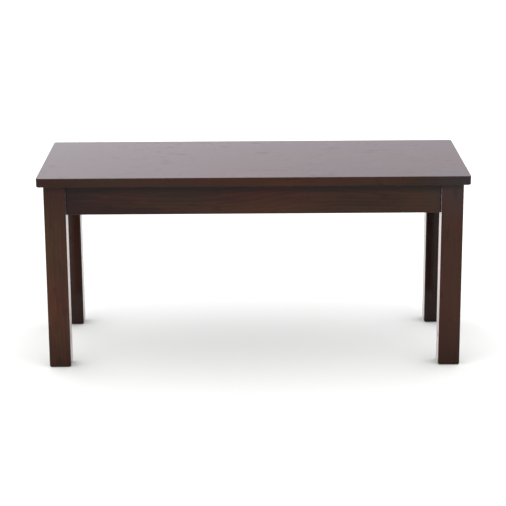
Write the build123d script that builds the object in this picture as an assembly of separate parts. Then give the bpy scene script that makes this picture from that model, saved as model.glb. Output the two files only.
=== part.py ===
from build123d import *
import math
import os

# Backless wooden bench, in millimetres: a solid seat on four square legs and an apron frame.
# Frame: +Z up, X along the length, -Y is the front. The origin is on the floor, under the
# middle of the seat. "left" is the -X end, as seen from the front.

# Overall size
length = 990.0
depth = 406.0
height = 457.0

# Seat panel, edge-glued from boards that run the full length
seat_thickness = 21.0
seat_boards = 5
seat_corner_radius = 8.0
seat_top_arris = 1.2
seat_under_arris = 3.0

# Legs
leg_side = 50.0
leg_arris = 3.0
foot_arris = 5.0
overhang = 14.5

# Aprons, stepped back from the outer faces of the legs
apron_height = 70.0
apron_thickness = 20.0
apron_step = 10.0
apron_arris = 1.5
open_joint_width = 1.2
open_joint_depth = 3.0

# Corner blocks across the inner corners of the apron frame, and the flats on the legs
# that face them
block_height = 50.0
block_thickness = 22.0
block_gap = 3.0
leg_flat_cut = 12.0
leg_flat_height = 62.0

# Rounding of the lower arrises of the pieces inside the frame
inner_arris = 1.0

# Cross rail under the middle of the seat
rail_width = 20.0
rail_height = 45.0

# Cleats inside the long aprons, with slots that let the seat swell and shrink
cleat_length = 60.0
cleat_side = 22.0
cleat_slot = 8.0
cleat_places = (-215.0, 215.0)
cleat_screw_reach = 20.0

# How much deeper a blind hole is than what sits in it
hole_spare = 1.0

# Dowels
dowel_diameter = 8.0
dowel_play = 0.1
dowel_length = 30.0
dowel_spacing = 36.0
rail_dowel_in_apron = 12.0
rail_dowel_spacing = 21.0

# M8 hanger bolts, washers and nuts
bolt_diameter = 8.0
bolt_play = 0.1
bolt_length = 80.0
bolt_in_leg = 40.0
bolt_hole = 9.0
machine_pitch = 1.25
wood_pitch = 3.0
machine_thread_depth = 0.6
wood_thread_depth = 1.0
washer_diameter = 18.0
washer_bore = 8.4
washer_thickness = 1.6
spring_washer_diameter = 13.5
spring_washer_bore = 8.2
spring_washer_thickness = 2.0
spring_washer_gap = 1.0
spring_washer_slant = 35.0
nut_across_flats = 13.0
nut_height = 6.5
nut_turned_corner = 0.8

# Pan-head wood screws
screw_diameter = 4.0
screw_pitch = 1.8
screw_thread_depth = 0.6
screw_head = 8.0
screw_head_height = 2.6
screw_cross = 4.4
screw_cross_width = 0.9
screw_cross_depth = 1.5
pilot_hole = 4.2
clearance_hole = 4.8
counterbore = 9.5
frame_screw_length = 25.0
long_screw_length = 40.0
short_screw_length = 30.0
screw_in_seat = 12.0
block_screw_seat = 8.5
block_screw_spacing = 28.0
block_seat_screw_aside = 13.0
rail_screw_reach = 90.0

# Derived places
leg_height = height - seat_thickness
leg_x = length / 2 - overhang - leg_side / 2
leg_y = depth / 2 - overhang - leg_side / 2
apron_end_x = leg_x - leg_side / 2
apron_end_y = leg_y - leg_side / 2
apron_outer_x = leg_x + leg_side / 2 - apron_step
apron_outer_y = leg_y + leg_side / 2 - apron_step
apron_inner_x = apron_outer_x - apron_thickness
apron_inner_y = apron_outer_y - apron_thickness
apron_mid_z = leg_height - apron_height / 2
block_mid_z = leg_height - block_height / 2
leg_inset = leg_side - apron_step - apron_thickness
long_screw_z = leg_height + screw_in_seat - long_screw_length
short_screw_z = leg_height + screw_in_seat - short_screw_length

# Diagonal planes at a corner, each given by how far inward it meets an apron
flat_plane = 2 * leg_inset - leg_flat_cut
block_near_plane = flat_plane + block_gap * math.sqrt(2)
block_far_plane = block_near_plane + block_thickness * math.sqrt(2)

corners = {
    "front_left": (-1, -1),
    "front_right": (1, -1),
    "rear_left": (-1, 1),
    "rear_right": (1, 1),
}


# Shapes and writing


def box(x0, x1, y0, y1, z0, z1):
    """Axis-aligned box between two opposite corners."""
    middle = ((x0 + x1) / 2, (y0 + y1) / 2, (z0 + z1) / 2)
    return Pos(*middle) * Box(abs(x1 - x0), abs(y1 - y0), abs(z1 - z0))


def rod(start, direction, rod_length, diameter):
    """Cylinder that starts at a point and runs along a direction."""
    cylinder = Pos(0, 0, rod_length / 2) * Cylinder(diameter / 2, rod_length)
    return Plane(origin=start, z_dir=direction) * cylinder


def turned(points):
    """Solid of revolution about Z of an outline that starts and ends on the axis."""
    return revolve(Plane.XZ * make_face(Polyline(*points, close=True)), Axis.Z)


def placed(shape, place):
    """Shape drawn on +Z, moved to a (start, direction) place."""
    start, direction = place
    return Plane(origin=start, z_dir=direction) * shape


def save(name, *shapes):
    """Write one node, as one solid or as a group of separate solids."""
    solids = [solid for shape in shapes for solid in shape.solids()]
    node = solids[0] if len(solids) == 1 else Compound(solids)
    node.label = name
    export_step(node, "parts/" + name + ".step")


# Fasteners, drawn on +Z


def thread_rings(z0, z1, pitch, diameter, thread_depth):
    """Outline of a thread as a row of rings, from one end to the other."""
    points = []
    rings = int((z1 - z0) / pitch)
    for ring in range(rings):
        z = z0 + ring * pitch
        points.append((diameter / 2 - thread_depth, z))
        points.append((diameter / 2, z + pitch * 0.45))
        points.append((diameter / 2, z + pitch * 0.55))
    points.append((diameter / 2 - thread_depth, z0 + rings * pitch))
    return points


def wood_screw(screw_length):
    """Screw with a domed head below z = 0, its bearing face at z = 0 and its point on top."""
    head_edge = 1.2
    plain_share = 0.35
    point_length = 4.0
    shank = screw_diameter / 2 - 0.4
    outline = [
        (0, -screw_head_height),
        (screw_head / 2 - head_edge, -screw_head_height),
        (screw_head / 2, -screw_head_height + head_edge),
        (screw_head / 2, 0),
        (shank, 0),
    ]
    thread_start = screw_length * plain_share
    thread_end = screw_length - point_length
    outline += thread_rings(thread_start, thread_end, screw_pitch, screw_diameter, screw_thread_depth)
    outline.append((0, screw_length))
    screw = turned(outline)
    for turn in (0, 90):
        groove = Box(screw_cross, screw_cross_width, screw_cross_depth)
        screw -= Pos(0, 0, -screw_head_height + screw_cross_depth / 2) * Rot(0, 0, turn) * groove
    return screw


def hanger_bolt():
    """Bolt with a wood thread and point below z = 0, and a machine thread above it."""
    point_length = 6.0
    plain_length = 3.0
    end_chamfer = 1.0
    diameter = bolt_diameter - bolt_play
    machine_end = bolt_length - bolt_in_leg
    outline = [(0, -bolt_in_leg)]
    wood_start = point_length - bolt_in_leg
    machine_stop = machine_end - end_chamfer
    outline += thread_rings(wood_start, -plain_length, wood_pitch, diameter, wood_thread_depth)
    outline += thread_rings(plain_length, machine_stop, machine_pitch, diameter, machine_thread_depth)
    outline += [(diameter / 2 - end_chamfer, machine_end), (0, machine_end)]
    return turned(outline)


def flat_washer():
    """Plain washer that starts at z = 0."""
    profile = Circle(washer_diameter / 2) - Circle(washer_bore / 2)
    return extrude(profile, amount=washer_thickness)


def spring_washer():
    """Split ring that starts at z = 0."""
    profile = Circle(spring_washer_diameter / 2) - Circle(spring_washer_bore / 2)
    ring = extrude(profile, amount=spring_washer_thickness)
    slit = Box(spring_washer_gap, spring_washer_diameter, 4 * spring_washer_thickness)
    slit = Rot(0, spring_washer_slant, 0) * slit
    return ring - Pos(0, spring_washer_diameter / 2, spring_washer_thickness / 2) * slit


def hexagon_nut():
    """Nut that starts at z = 0, with its corners turned down at both ends."""
    flat_radius = nut_across_flats / 2
    corner_radius = nut_across_flats / math.sqrt(3)
    body = extrude(RegularPolygon(corner_radius, 6) - Circle(bolt_diameter / 2), amount=nut_height)
    envelope = turned([
        (0, 0),
        (flat_radius, 0),
        (corner_radius, nut_turned_corner),
        (corner_radius, nut_height - nut_turned_corner),
        (flat_radius, nut_height),
        (0, nut_height),
    ])
    return body & envelope


def dowel():
    """Dowel with chamfered ends that starts at z = 0."""
    end_chamfer = 1.0
    pin = Pos(0, 0, dowel_length / 2) * Cylinder((dowel_diameter - dowel_play) / 2, dowel_length)
    return chamfer(pin.edges().filter_by(GeomType.CIRCLE), end_chamfer)


# Places of the fasteners, each as (start, direction)


def corner_point(corner, p, q, z):
    """Point p and q inward, along X and Y, from where two aprons' inner faces would meet."""
    sx, sy = corners[corner]
    return Vector(sx * (apron_inner_x - p), sy * (apron_inner_y - q), z)


def bolt_place(corner, distance):
    """Point on a hanger bolt's axis, at a distance inward from the leg's flat."""
    sx, sy = corners[corner]
    step = (flat_plane + distance * math.sqrt(2)) / 2
    return corner_point(corner, step, step, block_mid_z), Vector(-sx, -sy, 0)


def leg_dowel_places(corner):
    """Two dowels into the long apron and two into the end apron, from inside the leg."""
    sx, sy = corners[corner]
    start = leg_inset - dowel_length / 2
    middle = -apron_thickness / 2
    places = []
    for z in (apron_mid_z - dowel_spacing / 2, apron_mid_z + dowel_spacing / 2):
        places.append((corner_point(corner, start, middle, z), Vector(-sx, 0, 0)))
        places.append((corner_point(corner, middle, start, z), Vector(0, -sy, 0)))
    return places


def rail_dowel_places():
    """Two dowels at each end of the cross rail, from inside the long aprons."""
    y = apron_inner_y + rail_dowel_in_apron
    middle_z = leg_height - rail_height / 2
    heights = (middle_z - rail_dowel_spacing / 2, middle_z + rail_dowel_spacing / 2)
    return [(Vector(0, sy * y, z), Vector(0, -sy, 0)) for sy in (-1, 1) for z in heights]


def block_screw_places(corner):
    """Two screws through each end of a corner block, outward into the apron behind it."""
    sx, sy = corners[corner]
    aside = (block_near_plane + block_far_plane) / 2
    places = []
    for z in (block_mid_z - block_screw_spacing / 2, block_mid_z + block_screw_spacing / 2):
        places.append((corner_point(corner, aside, block_screw_seat, z), Vector(0, sy, 0)))
        places.append((corner_point(corner, block_screw_seat, aside, z), Vector(sx, 0, 0)))
    return places


def cleat_screw_places(x, sy):
    """Two screws through a cleat into the long apron behind it."""
    y = sy * (apron_inner_y - cleat_side / 2)
    z = leg_height - cleat_side / 2
    reaches = (-cleat_screw_reach, cleat_screw_reach)
    return [(Vector(x + reach, y, z), Vector(0, sy, 0)) for reach in reaches]


def block_seat_screw_place(corner):
    """Upright screw through a corner block, to one side of its bolt."""
    middle = (block_near_plane + block_far_plane) / 4
    aside = block_seat_screw_aside / math.sqrt(2)
    return corner_point(corner, middle + aside, middle - aside, long_screw_z), Vector(0, 0, 1)


def rail_seat_screw_places():
    """Upright screws through the cross rail."""
    return [(Vector(0, sy * rail_screw_reach, long_screw_z), Vector(0, 0, 1)) for sy in (-1, 1)]


def cleat_seat_screw_place(x, sy):
    """Upright screw through the middle of a cleat."""
    return Vector(x, sy * (apron_inner_y - cleat_side / 2), short_screw_z), Vector(0, 0, 1)


def all_cleats():
    """Place along X and side of every cleat."""
    return [(x, sy) for sy in (-1, 1) for x in cleat_places]


# Holes


def dowel_holes(places):
    """Blind holes a little longer than the dowels, at both of their ends."""
    hole_length = dowel_length + 2 * hole_spare
    return [
        rod(start - direction * hole_spare, direction, hole_length, dowel_diameter)
        for start, direction in places
    ]


def screw_holes(places, screw_length, diameter):
    """Holes along the screws' shanks, a little deeper than the points."""
    return [rod(start, direction, screw_length + hole_spare, diameter) for start, direction in places]


def head_pockets(places, pocket_depth):
    """Round pockets that the screw heads sit in, open behind the heads."""
    return [rod(start, -direction, pocket_depth, counterbore) for start, direction in places]


# Wooden pieces


def make_seat():
    """Seat with rounded corners and arrises, divided into boards numbered from the front."""
    panel = box(-length / 2, length / 2, -depth / 2, depth / 2, leg_height, height)
    panel = fillet(panel.edges().filter_by(Axis.Z), seat_corner_radius)
    panel = fillet(panel.faces().sort_by(Axis.Z)[-1].edges(), seat_top_arris)
    panel = fillet(panel.faces().sort_by(Axis.Z)[0].edges(), seat_under_arris)
    long_places = [block_seat_screw_place(corner) for corner in corners] + rail_seat_screw_places()
    short_places = [cleat_seat_screw_place(x, sy) for x, sy in all_cleats()]
    panel -= screw_holes(long_places, long_screw_length, pilot_hole)
    panel -= screw_holes(short_places, short_screw_length, pilot_hole)
    board_width = depth / seat_boards
    for number in range(seat_boards):
        y = -depth / 2 + number * board_width
        strip = box(-length, length, y, y + board_width, 0, 2 * height)
        save("seat_board_%d" % (number + 1), panel & strip)


def make_leg(corner):
    """Square leg. Behind the aprons its inner corner is cut flat for the hanger bolt."""
    sx, sy = corners[corner]
    leg = Pos(sx * leg_x, sy * leg_y, leg_height / 2) * Box(leg_side, leg_side, leg_height)
    leg = fillet(leg.edges().filter_by(Axis.Z), leg_arris)
    leg = fillet(leg.faces().sort_by(Axis.Z)[0].edges(), foot_arris)
    start, inward = bolt_place(corner, 0)
    top_of_flat = Vector(start.X, start.Y, leg_height)
    cutter = Pos(0, 0, leg_side / 2) * Box(2 * leg_flat_height, 2 * leg_side, leg_side)
    leg -= Plane(origin=top_of_flat, x_dir=(0, 0, 1), z_dir=inward) * cutter
    leg -= rod(start, -inward, bolt_in_leg + hole_spare, bolt_diameter)
    leg -= dowel_holes(leg_dowel_places(corner))
    save("leg_" + corner, leg)


def apron_board(x0, x1, y0, y1, run):
    """Apron that runs along an axis, with its two lower arrises rounded."""
    apron = box(x0, x1, y0, y1, leg_height - apron_height, leg_height)
    return fillet(apron.edges().filter_by(run).group_by(Axis.Z)[0], apron_arris)


def open_joint(x, y, reach_x, reach_y):
    """Narrow upright notch in an apron's outer corner, so the joint with the leg reads as a line."""
    return box(x, x - reach_x, y, y - reach_y, 0, height)


def make_long_apron(name, sy):
    """Front or rear apron, with holes for the dowels, the block screws and the cleat screws."""
    apron = apron_board(-apron_end_x, apron_end_x, sy * apron_inner_y, sy * apron_outer_y, Axis.X)
    for sx in (-1, 1):
        x, y = sx * apron_end_x, sy * apron_outer_y
        apron -= open_joint(x, y, sx * open_joint_width, sy * open_joint_depth)
    apron -= dowel_holes(rail_dowel_places())
    for corner in corners:
        apron -= dowel_holes(leg_dowel_places(corner))
        apron -= screw_holes(block_screw_places(corner), frame_screw_length, pilot_hole)
    for x, side in all_cleats():
        apron -= screw_holes(cleat_screw_places(x, side), frame_screw_length, pilot_hole)
    save(name, apron)


def make_end_apron(name, sx):
    """Left or right apron, with holes for the dowels and the block screws."""
    apron = apron_board(sx * apron_inner_x, sx * apron_outer_x, -apron_end_y, apron_end_y, Axis.Y)
    for sy in (-1, 1):
        x, y = sx * apron_outer_x, sy * apron_end_y
        apron -= open_joint(x, y, sx * open_joint_depth, sy * open_joint_width)
    for corner in corners:
        apron -= dowel_holes(leg_dowel_places(corner))
        apron -= screw_holes(block_screw_places(corner), frame_screw_length, pilot_hole)
    save(name, apron)


def make_corner_block(corner):
    """Block with mitred ends, bored for its bolt, its four screws and its seat screw."""
    z = leg_height - block_height
    plan = [
        corner_point(corner, block_near_plane, 0, z),
        corner_point(corner, block_far_plane, 0, z),
        corner_point(corner, 0, block_far_plane, z),
        corner_point(corner, 0, block_near_plane, z),
    ]
    block = extrude(make_face(Polyline(*plan, close=True)), amount=block_height, dir=(0, 0, 1))
    block = fillet(block.faces().sort_by(Axis.Z)[0].edges(), inner_arris)
    start, inward = bolt_place(corner, 0)
    block -= rod(start, inward, bolt_length, bolt_hole)
    places = block_screw_places(corner)
    block -= screw_holes(places, frame_screw_length, clearance_hole)
    block -= head_pockets(places, block_thickness)
    seat_place = [block_seat_screw_place(corner)]
    block -= screw_holes(seat_place, long_screw_length, clearance_hole)
    block -= head_pockets(seat_place, block_height)
    save("corner_block_" + corner, block)


def make_cross_rail():
    """Rail on edge between the long aprons, bored from below for two seat screws."""
    bottom = leg_height - rail_height
    rail = box(-rail_width / 2, rail_width / 2, -apron_inner_y, apron_inner_y, bottom, leg_height)
    rail = fillet(rail.edges().filter_by(Axis.Y).group_by(Axis.Z)[0], inner_arris)
    rail -= dowel_holes(rail_dowel_places())
    rail -= screw_holes(rail_seat_screw_places(), long_screw_length, clearance_hole)
    rail -= head_pockets(rail_seat_screw_places(), rail_height)
    save("cross_rail", rail)


def upright_slot(x, y, z, slot_length, width, slot_height):
    """Slot-shaped prism that stands on a point, longest along Y."""
    return Pos(x, y, z) * extrude(SlotOverall(slot_length, width, rotation=90), amount=slot_height)


def make_cleat(name, x, sy):
    """Cleat with two holes towards the apron and a slot up to the seat."""
    near, far = sy * apron_inner_y, sy * (apron_inner_y - cleat_side)
    bottom = leg_height - cleat_side
    cleat = box(x - cleat_length / 2, x + cleat_length / 2, near, far, bottom, leg_height)
    cleat = fillet(cleat.faces().sort_by(Axis.Z)[0].edges(), inner_arris)
    places = cleat_screw_places(x, sy)
    cleat -= screw_holes(places, frame_screw_length, clearance_hole)
    cleat -= head_pockets(places, cleat_side)
    start, up = cleat_seat_screw_place(x, sy)
    pocket_length = cleat_slot + counterbore - clearance_hole
    cleat -= upright_slot(start.X, start.Y, bottom, cleat_slot, clearance_hole, cleat_side)
    cleat -= upright_slot(start.X, start.Y, bottom, pocket_length, counterbore, short_screw_z - bottom)
    save(name, cleat)


# Groups of fasteners


def make_corner_fasteners(corner):
    """Hanger bolt, washers, nut, dowels and block screws of one corner."""
    washer_from_flat = block_gap + block_thickness
    spring_from_flat = washer_from_flat + washer_thickness
    nut_from_flat = spring_from_flat + spring_washer_thickness
    save("hanger_bolt_" + corner, placed(hanger_bolt(), bolt_place(corner, 0)))
    save("flat_washer_" + corner, placed(flat_washer(), bolt_place(corner, washer_from_flat)))
    save("spring_washer_" + corner, placed(spring_washer(), bolt_place(corner, spring_from_flat)))
    save("bolt_nut_" + corner, placed(hexagon_nut(), bolt_place(corner, nut_from_flat)))
    save("leg_dowels_" + corner, *[placed(dowel(), place) for place in leg_dowel_places(corner)])
    screw = wood_screw(frame_screw_length)
    save("block_screws_" + corner, *[placed(screw, place) for place in block_screw_places(corner)])


def make_seat_fasteners():
    """Rail dowels, cleat screws and the upright screws that hold the seat."""
    save("rail_dowels", *[placed(dowel(), place) for place in rail_dowel_places()])
    frame_screw = wood_screw(frame_screw_length)
    cleat_places_all = [place for x, sy in all_cleats() for place in cleat_screw_places(x, sy)]
    save("cleat_screws", *[placed(frame_screw, place) for place in cleat_places_all])
    long_screw = wood_screw(long_screw_length)
    block_places = [block_seat_screw_place(corner) for corner in corners]
    save("block_seat_screws", *[placed(long_screw, place) for place in block_places])
    save("rail_seat_screws", *[placed(long_screw, place) for place in rail_seat_screw_places()])
    short_screw = wood_screw(short_screw_length)
    short_places = [cleat_seat_screw_place(x, sy) for x, sy in all_cleats()]
    save("cleat_seat_screws", *[placed(short_screw, place) for place in short_places])


def main():
    os.makedirs("parts", exist_ok=True)
    make_seat()
    for corner in corners:
        make_leg(corner)
        make_corner_block(corner)
        make_corner_fasteners(corner)
    make_long_apron("apron_front", -1)
    make_long_apron("apron_rear", 1)
    make_end_apron("apron_left", -1)
    make_end_apron("apron_right", 1)
    make_cross_rail()
    for x, sy in all_cleats():
        name = "cleat_" + ("front" if sy < 0 else "rear") + ("_left" if x < 0 else "_right")
        make_cleat(name, x, sy)
    make_seat_fasteners()


main()
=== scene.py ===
import math
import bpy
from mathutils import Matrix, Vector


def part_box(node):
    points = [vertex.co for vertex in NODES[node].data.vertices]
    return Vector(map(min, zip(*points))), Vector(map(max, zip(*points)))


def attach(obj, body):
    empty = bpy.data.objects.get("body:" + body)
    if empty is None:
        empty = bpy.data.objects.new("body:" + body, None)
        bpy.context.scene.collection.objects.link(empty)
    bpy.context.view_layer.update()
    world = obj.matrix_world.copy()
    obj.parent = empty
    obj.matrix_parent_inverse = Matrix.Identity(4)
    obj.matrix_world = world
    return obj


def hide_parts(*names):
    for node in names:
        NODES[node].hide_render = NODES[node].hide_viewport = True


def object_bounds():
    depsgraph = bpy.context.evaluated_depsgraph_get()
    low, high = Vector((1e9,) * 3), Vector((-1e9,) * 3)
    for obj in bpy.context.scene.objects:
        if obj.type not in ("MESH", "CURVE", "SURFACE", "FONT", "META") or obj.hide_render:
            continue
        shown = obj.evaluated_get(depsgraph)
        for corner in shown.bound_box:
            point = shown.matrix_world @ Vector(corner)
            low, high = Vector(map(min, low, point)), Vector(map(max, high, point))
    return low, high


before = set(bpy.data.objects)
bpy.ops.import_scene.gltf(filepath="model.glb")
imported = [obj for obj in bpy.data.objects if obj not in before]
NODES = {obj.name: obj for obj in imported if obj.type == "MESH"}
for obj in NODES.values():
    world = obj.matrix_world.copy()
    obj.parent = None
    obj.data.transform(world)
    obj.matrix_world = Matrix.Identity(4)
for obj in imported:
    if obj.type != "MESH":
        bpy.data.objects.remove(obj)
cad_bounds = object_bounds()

from types import SimpleNamespace

import bmesh
import bpy
from mathutils import Matrix, Vector

# Backless pew bench, in metres, in the CAD frame: +Z up, X along the length, -Y is the front.

MM = 0.001
SIDES = ("front_left", "front_right", "rear_left", "rear_right")
SEAT_LOW = Vector(cad_bounds[0])
SEAT_HIGH = Vector(cad_bounds[1])
WHITE = (1.0, 1.0, 1.0, 1)

# Stained wood, in linear colours
DARK_STAIN = (0.0110, 0.0036, 0.0027, 1)
MIDDLE_STAIN = (0.0250, 0.0084, 0.0039, 1)
LIGHT_STAIN = (0.0480, 0.0165, 0.0060, 1)
PORE_STAIN = (0.0050, 0.0022, 0.0016, 1)
WORN_STAIN = (0.0850, 0.0400, 0.0220, 1)
# Grey of a painted sheen, a reflection painted into the colour at the right end and at the back
PAINTED_SHEEN_GREY = (0.0190, 0.0150, 0.0165, 1)

# Casts that multiply the stain
RED_CAST = (1.08, 0.92, 0.98, 1)
OLIVE_CAST = (0.93, 1.08, 0.94, 1)
DEEP_CAST = (0.74, 0.52, 0.65, 1)
WARM_CAST = (1.50, 1.05, 0.85, 1)

# Satin lacquer over the stain
LACQUER_IOR = 1.25
LACQUER_SHEEN = 0.5
LACQUER_SHEEN_ROUGHNESS = 0.20
LACQUER_SHEEN_TINT = (1.0, 0.72, 0.74, 1)

# Its roughness: what the clouds give, and what each mark adds
LACQUER_SMOOTHEST = 0.05
LACQUER_ROUGHEST = 0.08
GUM_DULLS = 0.10
SPOTS_DULL = 0.16
CUT_DULLS = 0.08
WEAR_DULLS = 0.10
UNDERSIDE_DULLS = 0.26

# Its height at each mark, in millimetres
PORE_HEIGHT = -0.030
GUM_HEIGHT = -0.035
FIBRE_HEIGHT = 0.008
PEEL_HEIGHT = 0.010
RING_HEIGHT = -0.006

# How dark or light the wood is: its mean, and what each mark adds
MEAN_TONE = -0.34
BROAD_TONE = 0.95
FIGURE_TONE = 0.34
FIBRE_TONE = 0.28
RING_TONE = -0.10

# How strongly each mark covers the stain
CUT_COVERS = 0.35
PORES_COVER = 0.75
GUM_COVERS = 0.5
SPOTS_COVER = 0.3
WEAR_COVERS = 0.40
# How strongly the painted grey sheen covers the stain, at the right end and at the back
RIGHT_SHEEN_COVERS = 0.65
BACK_SHEEN_COVERS = 0.20

# Values of the noise, or of the tone, between which a mark or a colour comes in
DARK_TO_MIDDLE = (0.05, 0.50)
MIDDLE_TO_LIGHT = (0.50, 0.95)
RED_TO_OLIVE = (0.36, 0.64)
DULL_CLOUDS = (0.25, 0.75)
PORES_SHOW = (0.62, 0.72)
GUM_SHOWS = (0.67, 0.76)
SPOTS_SHOW = (0.60, 0.70)
RUBS_SHOW = (0.42, 0.62)
CLOUDS_CHANGE = (0.3, 0.7)

# Parts of the surface's normal between which a face turns into end grain, an underside or a level face
CUT_FACE = (0.6, 0.9)
HANGING_FACE = (-0.95, -0.7)
LEVEL_FACE = (0.3, 0.8)

# Noise in the lacquered wood: cycles a metre along the grain, then in both directions across it
BROAD_SCALE = (2.2, 16.0, 16.0)
CLOUD_SCALE = (5.0, 22.0, 22.0)
FIGURE_SCALE = (10.0, 60.0, 60.0)
FIGURE_TWIST = 1.4
FIBRE_SCALE = (22.0, 1300.0, 1300.0)
PORE_SCALE = (150.0, 3000.0, 3000.0)
GUM_SCALE = (14.0, 240.0, 240.0)
SPOT_SCALE = (26.0, 50.0, 50.0)
RUB_SCALE = (60.0, 200.0, 200.0)
PEEL_SCALE = (230.0, 300.0, 300.0)

# Growth rings: their spacing in the lacquered wood, how their pith wanders, how they wave, and the shares
# of a ring over which the dark band comes in and goes out
RING_SPACING = 6.5 * MM
WANDER_SCALE = (1.3, 0.0, 0.0)
WANDER_REACH = (0.0, 0.10, 0.10)
WAVE_SCALE = (3.0, 28.0, 28.0)
WAVE_REACH = 0.020
RING_DARKENS = (0.25, 0.90)
RING_ENDS = (0.92, 1.0)

# Places and reaches of the colour patches and the painted sheen, and how far in the arrises are worn
ARRIS_REACH = 1.6 * MM
PATCH_REACH = 0.13
MIDDLE_PATCH_REACH = 0.20
EDGE_DROP = 12 * MM
LEFT_PATCH_INSET = 40 * MM
RIGHT_PATCH_INSET = 15 * MM
MIDDLE_PATCH_X = 20 * MM
MIDDLE_PATCH_RISE = 20 * MM
SHEEN_BACK_START = 0.05
SHEEN_BACK_FULL = 0.15

# Painted shade, and the seat's dark glue lines: share of the colour left, and how far they reach
SEAT_EDGE_SHADE = 0.80
GLUE_SHADE = 0.40
GLUE_REACH = 0.6 * MM
FOOT_SHADE = 0.60
FOOT_REACH = 0.13
UNDER_SEAT_SHADE = 0.66
UNDER_SEAT_START = 6 * MM
UNDER_SEAT_REACH = 24 * MM
CORNER_SHADE = 0.15
CORNER_START = 1.0 * MM
CORNER_REACH = 4.5 * MM

# Planed wood without a finish, inside the frame
BARE_DARK = (0.36, 0.205, 0.105, 1)
BARE_LIGHT = (0.56, 0.365, 0.205, 1)
BARE_PORE = (0.20, 0.11, 0.055, 1)
BARE_BROAD_SCALE = (4.0, 30.0, 30.0)
BARE_FIBRE_SCALE = (30.0, 900.0, 900.0)
BARE_PORE_SCALE = (150.0, 2500.0, 2500.0)
RIPPLE_SCALE = (420.0, 12.0, 12.0)
BARE_RING_SPACING = 3.2 * MM
BARE_PITH = (0.03, -0.06)
BARE_SEED_STEP = 0.7
BARE_DARK_TO_LIGHT = (0.25, 0.65)
BARE_PORES_SHOW = (0.60, 0.70)
BARE_PORES_COVER = 0.55
BARE_CUT_COVERS = 0.40
BARE_ARRIS_COVERS = 0.35
BARE_ROUGHNESS = (0.55, 0.72)
BARE_BROAD_TONE = 0.7
BARE_FIBRE_TONE = 0.3
BARE_RING_TONE = -0.14
BARE_FIBRE_HEIGHT = 0.06
BARE_PORE_HEIGHT = -0.06
BARE_RING_HEIGHT = 0.02
RIPPLE_HEIGHT = 0.05

# Zinc plated steel
BRIGHT_ZINC = ((0.66, 0.67, 0.68, 1), (0.48, 0.49, 0.50, 1), (0.16, 0.15, 0.14, 1))
YELLOW_ZINC = ((0.66, 0.52, 0.26, 1), (0.50, 0.36, 0.14, 1), (0.17, 0.12, 0.05, 1))
PLATING_SCALE = (220.0, 220.0, 220.0)
TURNING_SCALE = (900.0, 900.0, 5200.0)
DULL_SPOT_SCALE = (1400.0, 1400.0, 1400.0)
DULL_SPOTS_SHOW = (0.60, 0.72)
DULL_SPOTS_COVER = 0.5
DULL_SPOTS_DULL = 0.25
PLATING_ROUGHNESS = (0.28, 0.42)
TURNING_HEIGHT = 0.01

# Hanger bolts, in millimetres along the bolt from its middle, at the leg's flat: wood thread below 0. The
# shares are parts of one pitch, and WOOD_STEPS and MACHINE_STEPS say how many rings of points a pitch has.
BOLT_RADIUS = 3.95
BOLT_SEGMENTS = 24
BOLT_CHAMFER = 1.0
BOLT_TIP = 0.2
BOLT_PLAIN_TIP = 1.0
BOLT_SHARP_ANGLE = math.radians(40.0)
WOOD_PITCH = 3.0
WOOD_DEPTH = 1.0
WOOD_START = -34.0
WOOD_STOP = -4.0
WOOD_ROOT_SHARE = 0.55
WOOD_CREST_SHARE = 0.06
WOOD_STEPS = 10
MACHINE_PITCH = 1.25
MACHINE_DEPTH = 0.6
MACHINE_START = 3.0
MACHINE_ROOT_SHARE = 0.10
MACHINE_CREST_SHARE = 0.12
MACHINE_STEPS = 8
PLAIN_STEP = 1.0

# Room light
ROOM_LOW = 0.80
ROOM_HIGH = 1.65
GLOW_LEFT = 0.66
GLOW_RIGHT = 0.17
GLOW_TINT = (1.0, 0.975, 1.055, 1)
GLOW_AHEAD = (0.2, 0.9)
GLOW_SIDE = (-0.30, 0.15)
KEY_ENERGY = 2.6
KEY_ANGLE = math.radians(20.0)
KEY_FROM = Vector((-0.30, -1.0, 0.85))

# Floor
FLOOR_HALF = 30.0
FLOOR_DROP = 0.2 * MM
FLOOR_COLOUR = (0.89, 0.905, 0.88, 1)
FLOOR_ROUGHNESS = 0.9

# Camera, with its turns in radians
CAMERA_PLACE = Vector((-0.0121, -3.9958, 1.3329))
CAMERA_YAW = 0.0026
CAMERA_PITCH = 0.2709
CAMERA_ROLL = -0.0058
CAMERA_LENS = 122.0
CAMERA_SENSOR = 36.0


# Node trees


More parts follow.
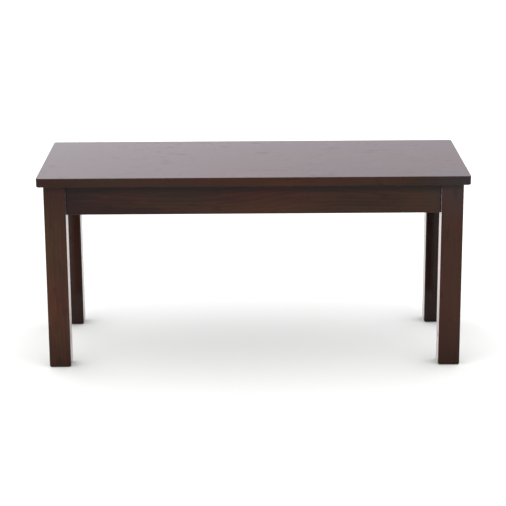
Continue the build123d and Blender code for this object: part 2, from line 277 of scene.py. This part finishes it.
class Graph:
    """Node tree with short calls for the nodes used here."""

    def __init__(self, tree):
        self.tree = tree

    def put(self, socket, value):
        if isinstance(value, bpy.types.NodeSocket):
            self.tree.links.new(value, socket)
        else:
            socket.default_value = value

    def made(self, kind, inputs, **settings):
        """Adds a node with its settings, and fills its inputs by name or number."""
        node = self.tree.nodes.new(kind)
        for name, value in settings.items():
            setattr(node, name, value)
        for name, value in inputs.items():
            self.put(node.inputs[name], value)
        return node

    def math(self, operation, a, b=0.0):
        return self.made("ShaderNodeMath", {0: a, 1: b}, operation=operation).outputs[0]

    def times(self, a, b):
        return self.math("MULTIPLY", a, b)

    def less(self, a, b):
        return self.math("SUBTRACT", a, b)

    def blend(self, value, *weighted):
        """A value plus (value, weight) pairs."""
        for other, weight in weighted:
            value = self.math("ADD", value, self.times(other, weight))
        return value

    def remap(self, value, low, high, to_low=0.0, to_high=1.0):
        """Smooth step of a value from one range to another."""
        inputs = {"Value": value, "From Min": low, "From Max": high, "To Min": to_low, "To Max": to_high}
        return self.made("ShaderNodeMapRange", inputs, interpolation_type="SMOOTHSTEP").outputs[0]

    def mix(self, factor, a, b, kind="MIX"):
        """Mixes two colours."""
        inputs = {0: factor, 6: a, 7: b}
        return self.made("ShaderNodeMix", inputs, data_type="RGBA", blend_type=kind).outputs[2]

    def tinted(self, colour, cast):
        """A colour times another colour, or times a grey value."""
        return self.mix(1.0, colour, cast, kind="MULTIPLY")

    def vector(self, operation, a, b=(0.0, 0.0, 0.0), output="Vector"):
        return self.made("ShaderNodeVectorMath", {0: a, 1: b}, operation=operation).outputs[output]

    def noise(self, place, scale, detail=2.0, distortion=0.0, output="Fac"):
        """Noise from 0 to 1 around 0.5, with one scale for each axis."""
        inputs = {"Vector": self.vector("MULTIPLY", place, scale), "Scale": 1.0, "Detail": detail}
        inputs["Distortion"] = distortion
        return self.made("ShaderNodeTexNoise", inputs).outputs[output]

    def parts(self, vector):
        """X, Y and Z of a vector."""
        return self.made("ShaderNodeSeparateXYZ", {0: vector}).outputs

    def joined(self, x, y, z):
        return self.made("ShaderNodeCombineXYZ", {0: x, 1: y, 2: z}).outputs[0]

    def object_place(self):
        """Place on the object, which is its place in the frame, in metres."""
        return self.made("ShaderNodeTexCoord", {}).outputs["Object"]

    def facing(self, axis):
        """X, Y or Z of the surface's normal."""
        normal = self.made("ShaderNodeNewGeometry", {}).outputs["Normal"]
        return self.parts(normal)["XYZ".index(axis)]

    def bump(self, height):
        """Normal bent by a height in millimetres."""
        return self.made("ShaderNodeBump", {"Height": height, "Distance": MM}).outputs[0]


def new_material(name):
    """Material with a Principled shader, and the graph of its nodes."""
    material = bpy.data.materials.new(name)
    material.use_nodes = True
    graph = Graph(material.node_tree)
    return material, graph, material.node_tree.nodes["Principled BSDF"]


def give(node, material):
    """Puts one material in every slot of a CAD node."""
    for slot in NODES[node].material_slots:
        slot.material = material


# What both kinds of wood share


def grain_place(graph, grain, centre, seed):
    """Point in the wood: metres along the grain, then the two directions across it."""
    parts = graph.parts(graph.object_place())
    along, across, other = {"X": (0, 1, 2), "Y": (1, 0, 2), "Z": (2, 0, 1)}[grain]
    return graph.joined(
        graph.less(parts[along], centre[along] - seed),
        graph.less(parts[across], centre[across]),
        graph.less(parts[other], centre[other]),
    )


def arris_closeness(graph, low, high):
    """1 on the arrises of a box-shaped piece, falling to 0 a little way in from them."""
    parts = graph.parts(graph.object_place())
    gaps = []
    for axis in range(3):
        from_low = graph.less(parts[axis], low[axis])
        from_high = graph.less(high[axis], parts[axis])
        gaps.append(graph.math("MINIMUM", from_low, from_high))
    smaller = graph.math("MINIMUM", gaps[0], gaps[1])
    larger = graph.math("MAXIMUM", gaps[0], gaps[1])
    second = graph.math("MAXIMUM", smaller, graph.math("MINIMUM", larger, gaps[2]))
    return graph.remap(second, 0.0, ARRIS_REACH, 1.0, 0.0)


def latewood(graph, place, pith, spacing):
    """Dark bands of the growth rings around a pith that wanders along the grain."""
    noise_middle = (0.5, 0.5, 0.5)
    across_only = (0.0, 1.0, 1.0)
    wander = graph.noise(place, WANDER_SCALE, detail=1.0, output="Color")
    wander = graph.vector("MULTIPLY", graph.vector("SUBTRACT", wander, noise_middle), WANDER_REACH)
    ring = graph.vector("SUBTRACT", graph.vector("MULTIPLY", place, across_only), (0.0, *pith))
    radius = graph.vector("LENGTH", graph.vector("ADD", ring, wander), output="Value")
    radius = graph.blend(radius, (graph.noise(place, WAVE_SCALE, detail=3.0), WAVE_REACH))
    phase = graph.math("FRACT", graph.math("DIVIDE", radius, spacing))
    return graph.times(graph.remap(phase, *RING_DARKENS), graph.remap(phase, *RING_ENDS, 1.0, 0.0))


def end_grain(graph, grain):
    """1 where the surface cuts straight across the grain."""
    return graph.remap(graph.math("ABSOLUTE", graph.facing(grain)), *CUT_FACE)


# Lacquered wood


def underside(graph):
    """1 where the surface faces down and the lacquer was never rubbed out."""
    return graph.remap(graph.facing("Z"), *HANGING_FACE, 1.0, 0.0)


def upright(graph):
    """1 on standing faces, 0 on level ones."""
    return graph.remap(graph.math("ABSOLUTE", graph.facing("Z")), *LEVEL_FACE, 1.0, 0.0)


def patch(graph, centre, reach):
    """1 at a point of the frame, falling smoothly to 0 at a distance from it."""
    gap = graph.vector("DISTANCE", graph.object_place(), centre, output="Value")
    return graph.remap(gap, 0.0, reach, 1.0, 0.0)


def tone_patches_and_painted_sheen(graph, colour):
    """Darker left and warmer middle of the front; a painted grey sheen, like a reflection, right and back.
    """
    y, edge_z = SEAT_LOW.y, SEAT_HIGH.z - EDGE_DROP
    left = patch(graph, (SEAT_LOW.x + LEFT_PATCH_INSET, y, edge_z), PATCH_REACH)
    middle = patch(graph, (MIDDLE_PATCH_X, y, SEAT_HIGH.z + MIDDLE_PATCH_RISE), MIDDLE_PATCH_REACH)
    right = patch(graph, (SEAT_HIGH.x - RIGHT_PATCH_INSET, y, edge_z), PATCH_REACH)
    back = graph.remap(graph.parts(graph.object_place())[1], SHEEN_BACK_START, SHEEN_BACK_FULL)
    left = graph.times(left, upright(graph))
    colour = graph.mix(left, colour, graph.tinted(colour, DEEP_CAST))
    colour = graph.mix(middle, colour, graph.tinted(colour, WARM_CAST))
    # Painted sheen: a grey reflection painted into the colour at the right end and towards the back
    right = graph.times(right, RIGHT_SHEEN_COVERS)
    dull = graph.math("MAXIMUM", right, graph.times(back, BACK_SHEEN_COVERS))
    return graph.mix(dull, colour, PAINTED_SHEEN_GREY)


def seat_painted_shade_and_glue_lines(graph, low, high):
    """Painted shade on the standing edges, and a fine dark line where a board is glued to the next one."""
    edge = graph.remap(upright(graph), 0.0, 1.0, 1.0, SEAT_EDGE_SHADE)
    y = graph.parts(graph.object_place())[1]
    gaps = []
    if low.y > SEAT_LOW.y + MM:
        gaps.append(graph.less(y, low.y))
    if high.y < SEAT_HIGH.y - MM:
        gaps.append(graph.less(high.y, y))
    nearest = gaps[0] if len(gaps) == 1 else graph.math("MINIMUM", *gaps)
    return graph.times(edge, graph.remap(nearest, 0.0, GLUE_REACH, GLUE_SHADE, 1.0))


def painted_foot_shade(graph, low, _):
    """Painted shade: darker towards the feet, near the floor."""
    z = graph.parts(graph.object_place())[2]
    return graph.remap(z, low.z, low.z + FOOT_REACH, FOOT_SHADE, 1.0)


def apron_painted_shade(graph, low, high):
    """Painted shadow close under the seat, and painted shade, almost black, in the corners with the legs."""
    run = 0 if high.x - low.x > high.y - low.y else 1
    parts = graph.parts(graph.object_place())
    below_seat = graph.less(high.z, parts[2])
    from_middle = graph.math("ABSOLUTE", graph.less(parts[run], (low[run] + high[run]) / 2))
    from_end = graph.less((high[run] - low[run]) / 2, from_middle)
    painted_seat_shadow = graph.remap(below_seat, UNDER_SEAT_START, UNDER_SEAT_REACH, UNDER_SEAT_SHADE, 1.0)
    corner = graph.remap(from_end, CORNER_START, CORNER_REACH, CORNER_SHADE, 1.0)
    return graph.times(painted_seat_shadow, corner)


def worn_box(node):
    """Box whose arrises are worn: the piece's own, but the whole panel's for a board of the seat."""
    low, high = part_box(node)
    if node.startswith("seat_board"):
        low.xy, high.xy = SEAT_LOW.xy, SEAT_HIGH.xy
    return low, high


def wood_marks(graph, node, grain, place, pith):
    """The separate marks of a lacquered piece, each from 0 to 1."""
    rub = graph.remap(graph.noise(place, RUB_SCALE, detail=3.0), *RUBS_SHOW)
    return SimpleNamespace(
        broad=graph.noise(place, BROAD_SCALE, detail=3.0),
        cloud=graph.noise(place, CLOUD_SCALE),
        figure=graph.noise(place, FIGURE_SCALE, detail=3.0, distortion=FIGURE_TWIST),
        fibres=graph.noise(place, FIBRE_SCALE),
        pores=graph.remap(graph.noise(place, PORE_SCALE, detail=1.0), *PORES_SHOW),
        gum=graph.remap(graph.noise(place, GUM_SCALE), *GUM_SHOWS),
        spots=graph.remap(graph.noise(place, SPOT_SCALE), *SPOTS_SHOW),
        peel=graph.noise(place, PEEL_SCALE, detail=1.0),
        rings=latewood(graph, place, pith, RING_SPACING),
        cut=end_grain(graph, grain),
        wear=graph.times(arris_closeness(graph, *worn_box(node)), rub),
    )


def stain_colour(graph, marks, tone):
    """Stained wood's colour under the lacquer, with its patches and painted sheen, before the painted shade.
    """
    colour = graph.mix(graph.remap(tone, *DARK_TO_MIDDLE), DARK_STAIN, MIDDLE_STAIN)
    colour = graph.mix(graph.remap(tone, *MIDDLE_TO_LIGHT), colour, LIGHT_STAIN)
    cast = graph.mix(graph.remap(marks.cloud, *RED_TO_OLIVE), RED_CAST, OLIVE_CAST)
    colour = tone_patches_and_painted_sheen(graph, graph.tinted(colour, cast))
    colour = graph.mix(graph.times(marks.cut, CUT_COVERS), colour, DARK_STAIN)
    pores = graph.times(marks.pores, PORES_COVER)
    streaks = graph.math("MAXIMUM", pores, graph.times(marks.gum, GUM_COVERS))
    streaks = graph.math("MAXIMUM", streaks, graph.times(marks.spots, SPOTS_COVER))
    colour = graph.mix(streaks, colour, PORE_STAIN)
    return graph.mix(graph.times(marks.wear, WEAR_COVERS), colour, WORN_STAIN)


def lacquer_roughness(graph, marks):
    """Roughness of the satin lacquer, and how much rougher its marks and its underside are."""
    return graph.blend(
        graph.remap(marks.cloud, *DULL_CLOUDS, LACQUER_SMOOTHEST, LACQUER_ROUGHEST),
        (marks.gum, GUM_DULLS),
        (marks.spots, SPOTS_DULL),
        (marks.cut, CUT_DULLS),
        (marks.wear, WEAR_DULLS),
        (underside(graph), UNDERSIDE_DULLS),
    )


def lacquer_height(graph, marks):
    """Height of the lacquer in millimetres: sunken marks, fine fibres and a little orange peel."""
    return graph.blend(
        0.0,
        (marks.pores, PORE_HEIGHT),
        (marks.gum, GUM_HEIGHT),
        (marks.fibres, FIBRE_HEIGHT),
        (marks.peel, PEEL_HEIGHT),
        (marks.rings, RING_HEIGHT),
    )


def lacquered_wood(node, grain, seed, pith, shade, tone_shift=0.0, drift=0.0):
    """Dark stained wood under satin lacquer. The seed and the pith say where in the tree it was cut.

    The tone's shift makes the whole piece lighter. Its drift makes the piece lighter towards the high end of
    its grain.
    """
    low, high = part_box(node)
    material, graph, shader = new_material("lacquer_" + node)
    place = grain_place(graph, grain, (low + high) / 2, seed)
    marks = wood_marks(graph, node, grain, place, pith)
    length = (high - low)["XYZ".index(grain)]
    along = graph.less(graph.parts(place)[0], seed)
    tone = graph.blend(
        tone_shift + MEAN_TONE,
        (marks.broad, BROAD_TONE),
        (marks.figure, FIGURE_TONE),
        (marks.fibres, FIBRE_TONE),
        (marks.rings, RING_TONE),
        (along, drift / length),
    )
    # The shade function multiplies in painted shade, and on the seat the dark glue lines as well
    colour = graph.tinted(stain_colour(graph, marks, tone), shade(graph, low, high))
    graph.put(shader.inputs["Base Color"], colour)
    graph.put(shader.inputs["Roughness"], lacquer_roughness(graph, marks))
    graph.put(shader.inputs["Normal"], graph.bump(lacquer_height(graph, marks)))
    shader.inputs["IOR"].default_value = LACQUER_IOR
    shader.inputs["Sheen Weight"].default_value = LACQUER_SHEEN
    shader.inputs["Sheen Roughness"].default_value = LACQUER_SHEEN_ROUGHNESS
    shader.inputs["Sheen Tint"].default_value = LACQUER_SHEEN_TINT
    give(node, material)


def finish_seat():
    """Five boards, each cut from another place in the tree."""
    seed_step = 1.7
    piths_y = (-0.05, 0.03, 0.06, -0.03, 0.04)
    pith_z = -0.07
    for number, pith_y in enumerate(piths_y, 1):
        node = "seat_board_%d" % number
        lacquered_wood(node, "X", seed_step * number, (pith_y, pith_z), seat_painted_shade_and_glue_lines)


def finish_legs():
    """Four legs, lightest front left, darkest rear right: partly wood tone, partly painted light and shade.
    """
    first_seed = 10.3
    seed_step = 2.1
    pith = (0.07, -0.09)
    # Shifts of tone, which also paint light on the front left leg and shade on the rear legs
    tone_and_painted_light_shifts = (0.22, 0.03, -0.05, -0.14)
    for number, side in enumerate(SIDES):
        seed = first_seed + seed_step * number
        lacquered_wood("leg_" + side, "Z", seed, pith, painted_foot_shade, tone_and_painted_light_shifts[number])


def finish_aprons():
    """Four aprons. The front one is darker to the left."""
    lacquered_wood(
        "apron_front", "X", seed=20.9, pith=(-0.08, 0.05), shade=apron_painted_shade, tone_shift=-0.08, drift=0.30
    )
    lacquered_wood("apron_rear", "X", seed=22.8, pith=(0.09, 0.04), shade=apron_painted_shade)
    lacquered_wood("apron_left", "Y", seed=24.7, pith=(0.06, 0.07), shade=apron_painted_shade)
    lacquered_wood("apron_right", "Y", seed=26.6, pith=(-0.07, 0.06), shade=apron_painted_shade)


# Bare wood


def bare_wood(node, grain, seed):
    """Pale planed wood: growth rings, fibres, pores, planer ripple and darker arrises."""
    low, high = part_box(node)
    material, graph, shader = new_material("bare_" + node)
    place = grain_place(graph, grain, (low + high) / 2, seed)
    broad = graph.noise(place, BARE_BROAD_SCALE, detail=3.0)
    fibres = graph.noise(place, BARE_FIBRE_SCALE, detail=3.0)
    pores = graph.remap(graph.noise(place, BARE_PORE_SCALE, detail=1.0), *BARE_PORES_SHOW)
    ripple = graph.noise(place, RIPPLE_SCALE, detail=0.0)
    rings = latewood(graph, place, BARE_PITH, BARE_RING_SPACING)
    cut = graph.times(end_grain(graph, grain), BARE_CUT_COVERS)
    soft = graph.times(arris_closeness(graph, low, high), BARE_ARRIS_COVERS)
    tone = graph.blend(
        0.0,
        (broad, BARE_BROAD_TONE),
        (fibres, BARE_FIBRE_TONE),
        (rings, BARE_RING_TONE),
    )
    colour = graph.mix(graph.remap(tone, *BARE_DARK_TO_LIGHT), BARE_DARK, BARE_LIGHT)
    colour = graph.mix(graph.times(pores, BARE_PORES_COVER), colour, BARE_PORE)
    colour = graph.mix(soft, graph.mix(cut, colour, BARE_DARK), BARE_DARK)
    height = graph.blend(
        0.0,
        (fibres, BARE_FIBRE_HEIGHT),
        (pores, BARE_PORE_HEIGHT),
        (rings, BARE_RING_HEIGHT),
        (ripple, RIPPLE_HEIGHT),
    )
    graph.put(shader.inputs["Base Color"], colour)
    graph.put(shader.inputs["Roughness"], graph.remap(broad, *CLOUDS_CHANGE, *BARE_ROUGHNESS))
    graph.put(shader.inputs["Normal"], graph.bump(height))
    give(node, material)


def bare_pieces(nodes, grain, first_seed):
    """Pieces of one kind, each from another stretch of the same plank."""
    for number, node in enumerate(nodes):
        bare_wood(node, grain, first_seed + BARE_SEED_STEP * number)


def finish_inside():
    """Bare wood on everything inside the apron frame."""
    dowels = ["leg_dowels_" + side for side in SIDES] + ["rail_dowels"]
    bare_pieces(["corner_block_" + side for side in SIDES], "Z", first_seed=31.0)
    bare_pieces(["cross_rail"], "Y", first_seed=36.0)
    bare_pieces(["cleat_" + side for side in SIDES], "X", first_seed=38.0)
    bare_pieces(dowels, "X", first_seed=43.0)


# Metal


def plated_steel(name, pale, deep, dull):
    """Zinc plated steel with cloudy plating, fine turning marks and dull spots."""
    material, graph, shader = new_material(name)
    place = graph.object_place()
    cloud = graph.noise(place, PLATING_SCALE, detail=3.0)
    marks = graph.noise(place, TURNING_SCALE)
    spots = graph.remap(graph.noise(place, DULL_SPOT_SCALE), *DULL_SPOTS_SHOW)
    colour = graph.mix(graph.remap(cloud, *CLOUDS_CHANGE), deep, pale)
    colour = graph.mix(graph.times(spots, DULL_SPOTS_COVER), colour, dull)
    rough = graph.remap(cloud, *CLOUDS_CHANGE, *PLATING_ROUGHNESS)
    rough = graph.blend(rough, (spots, DULL_SPOTS_DULL))
    graph.put(shader.inputs["Base Color"], colour)
    graph.put(shader.inputs["Roughness"], rough)
    graph.put(shader.inputs["Normal"], graph.bump(graph.times(marks, TURNING_HEIGHT)))
    shader.inputs["Metallic"].default_value = 1.0
    return material


def finish_fasteners():
    """Bright zinc on the bolts, washers and nuts, and yellow zinc on the wood screws."""
    bright = plated_steel("bright_zinc", *BRIGHT_ZINC)
    yellow = plated_steel("yellow_zinc", *YELLOW_ZINC)
    for side in SIDES:
        make_hanger_bolt(side, bright)
    for node in NODES:
        if node.startswith(("hanger_bolt", "flat_washer", "spring_washer", "bolt_nut")):
            give(node, bright)
        elif "screws" in node:
            give(node, yellow)


# Hanger bolts with helical threads, in place of the CAD bolts with rings


def between(value, low, high):
    """How far a value has come from low to high, kept from 0 to 1."""
    return min(max((value - low) / (high - low), 0.0), 1.0)


def thread_ridge(z, turn, pitch, root_share, crest_share):
    """Height of a helical ridge, from 0 at its root to 1 at its crest."""
    phase = (z / pitch - turn) % 1.0
    return between(1.0 - abs(2.0 * phase - 1.0), root_share, 1.0 - crest_share)


def wood_thread(z, turn, bottom):
    """Height of the wood thread, which fades in from the point and out before the plain part."""
    ridge = thread_ridge(z, turn, WOOD_PITCH, WOOD_ROOT_SHARE, WOOD_CREST_SHARE)
    fade_in = between(z, bottom + BOLT_PLAIN_TIP, WOOD_START)
    fade_out = between(z, WOOD_STOP, WOOD_STOP - WOOD_PITCH)
    return WOOD_DEPTH * fade_in * fade_out * ridge


def machine_thread(z, turn):
    """Height of the machine thread, which fades in from the plain part."""
    ridge = thread_ridge(z, turn, MACHINE_PITCH, MACHINE_ROOT_SHARE, MACHINE_CREST_SHARE)
    return MACHINE_DEPTH * between(z, MACHINE_START, MACHINE_START + MACHINE_PITCH) * ridge


def bolt_radius(z, turn, bottom, top):
    """Radius of the bolt at a height and a share of a turn."""
    wood_core = (BOLT_RADIUS - WOOD_DEPTH) * between(z, bottom, WOOD_START)
    machine_core = BOLT_RADIUS - MACHINE_DEPTH
    if z < WOOD_STOP:
        return wood_core + wood_thread(z, turn, bottom)
    if z < MACHINE_START:
        return wood_core + (machine_core - wood_core) * between(z, WOOD_STOP, MACHINE_START)
    chamfer = BOLT_CHAMFER * between(z, top - BOLT_CHAMFER, top)
    return min(machine_core + machine_thread(z, turn), BOLT_RADIUS - chamfer)


def steps(start, stop, size):
    """Evenly spaced values from start up to, but not including, stop."""
    count = round((stop - start) / size)
    return [start + (stop - start) * number / count for number in range(count)]


def bolt_axis(node):
    """Point end and nut end of a CAD bolt, from its own mesh, and the level direction across it."""
    middle = sum(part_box(node), Vector()) / 2
    inward = Vector((-math.copysign(1.0, middle.x), -math.copysign(1.0, middle.y), 0.0)).normalized()
    aside = Vector((-inward.y, inward.x, 0.0))
    points = [vertex.co for vertex in NODES[node].data.vertices]
    along = [point.dot(inward) for point in points]
    across = [point.dot(aside) for point in points]
    line = aside * (min(across) + max(across)) / 2 + Vector((0.0, 0.0, middle.z))
    return line + inward * min(along), line + inward * max(along), aside


def bolt_rings(bolt, point_end, nut_end, aside):
    """Rings of vertices from the point to the nut end, closely spaced where there is a thread."""
    half = (nut_end - point_end).length / MM / 2
    origin = (point_end + nut_end) / 2
    inward = (nut_end - point_end).normalized()
    up = Vector((0.0, 0.0, 1.0))
    heights = steps(-half + BOLT_TIP, WOOD_STOP, WOOD_PITCH / WOOD_STEPS)
    heights += steps(WOOD_STOP, MACHINE_START, PLAIN_STEP)
    heights += steps(MACHINE_START, half, MACHINE_PITCH / MACHINE_STEPS) + [half]
    rings = []
    for z in heights:
        ring = []
        for number in range(BOLT_SEGMENTS):
            turn = number / BOLT_SEGMENTS
            out = aside * math.cos(2 * math.pi * turn) + up * math.sin(2 * math.pi * turn)
            offset = inward * z + out * bolt_radius(z, turn, -half, half)
            ring.append(bolt.verts.new(origin + offset * MM))
        rings.append(ring)
    return rings


def bolt_mesh(side, point_end, nut_end, aside):
    """Closed mesh of a bolt: a point, the rings joined by faces, and a flat end."""
    bolt = bmesh.new()
    rings = bolt_rings(bolt, point_end, nut_end, aside)
    tip = bolt.verts.new(point_end)
    for number in range(BOLT_SEGMENTS):
        after = (number + 1) % BOLT_SEGMENTS
        bolt.faces.new((tip, rings[0][number], rings[0][after]))
        for lower, upper in zip(rings, rings[1:]):
            bolt.faces.new((lower[number], lower[after], upper[after], upper[number]))
    bolt.faces.new(rings[-1])
    bmesh.ops.recalc_face_normals(bolt, faces=bolt.faces)
    mesh = bpy.data.meshes.new("threaded_bolt_" + side)
    bolt.to_mesh(mesh)
    bolt.free()
    mesh.shade_smooth()
    mesh.set_sharp_from_angle(angle=BOLT_SHARP_ANGLE)
    return mesh


def make_hanger_bolt(side, material):
    """Bolt with a coarse wood thread and a point at one end, and a fine thread at the other."""
    node = "hanger_bolt_" + side
    mesh = bolt_mesh(side, *bolt_axis(node))
    mesh.materials.append(material)
    piece = bpy.data.objects.new("threaded_bolt_" + side, mesh)
    bpy.context.scene.collection.objects.link(piece)
    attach(piece, "root")
    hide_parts(node)


# Surroundings


def make_floor():
    """Plain pale floor, wide enough to fill every view."""
    signs = ((-1, -1), (1, -1), (1, 1), (-1, 1))
    corners = [(FLOOR_HALF * x, FLOOR_HALF * y, 0) for x, y in signs]
    mesh = bpy.data.meshes.new("floor")
    mesh.from_pydata(corners, [], [(0, 1, 2, 3)])
    floor = bpy.data.objects.new("floor", mesh)
    bpy.context.scene.collection.objects.link(floor)
    floor.location.z = -FLOOR_DROP
    material, _, shader = new_material("pale_floor")
    shader.inputs["Base Color"].default_value = FLOOR_COLOUR
    shader.inputs["Roughness"].default_value = FLOOR_ROUGHNESS
    shader.inputs["Specular IOR Level"].default_value = 0.0
    mesh.materials.append(material)
    return floor


def make_room():
    """Soft white room: bright above, with a wide glow low behind the bench, strongest on its left."""
    world = bpy.data.worlds.new("room")
    bpy.context.scene.world = world
    world.use_nodes = True
    graph = Graph(world.node_tree)
    background = world.node_tree.nodes["Background"]
    side, ahead, up = graph.parts(graph.made("ShaderNodeTexCoord", {}).outputs["Generated"])
    behind = graph.remap(ahead, *GLOW_AHEAD)
    glow = graph.times(behind, graph.remap(side, *GLOW_SIDE, GLOW_LEFT, GLOW_RIGHT))
    height = graph.remap(up, 0.0, 1.0, ROOM_LOW, ROOM_HIGH)
    graph.put(background.inputs["Color"], graph.mix(behind, WHITE, GLOW_TINT))
    graph.put(background.inputs["Strength"], graph.math("ADD", glow, height))


def make_key(floor):
    """Soft distant light from the upper left front. It spares the floor, as on a cut-out backdrop."""
    light = bpy.data.lights.new("key", "SUN")
    light.energy = KEY_ENERGY
    light.angle = KEY_ANGLE
    lamp = bpy.data.objects.new("key", light)
    bpy.context.scene.collection.objects.link(lamp)
    lamp.rotation_mode = "QUATERNION"
    lamp.rotation_quaternion = KEY_FROM.to_track_quat("Z", "Y")
    spared = bpy.data.collections.new("spared_by_key")
    spared.objects.link(floor)
    spared.collection_objects[0].light_linking.link_state = "EXCLUDE"
    lamp.light_linking.receiver_collection = spared


def make_camera():
    """Camera in front of the bench and above it, tilted down, with hardly any roll."""
    data = bpy.data.cameras.new("camera")
    data.sensor_width = CAMERA_SENSOR
    data.lens = CAMERA_LENS
    camera = bpy.data.objects.new("camera", data)
    bpy.context.scene.collection.objects.link(camera)
    bpy.context.scene.camera = camera
    yaw = Matrix.Rotation(-CAMERA_YAW, 4, "Z")
    pitch = Matrix.Rotation(math.pi / 2 - CAMERA_PITCH, 4, "X")
    roll = Matrix.Rotation(CAMERA_ROLL, 4, "Z")
    camera.matrix_world = Matrix.Translation(CAMERA_PLACE) @ yaw @ pitch @ roll


finish_seat()
finish_legs()
finish_aprons()
finish_inside()
finish_fasteners()
make_key(make_floor())
make_room()
make_camera()
bpy.context.scene.view_settings.view_transform = "Standard"
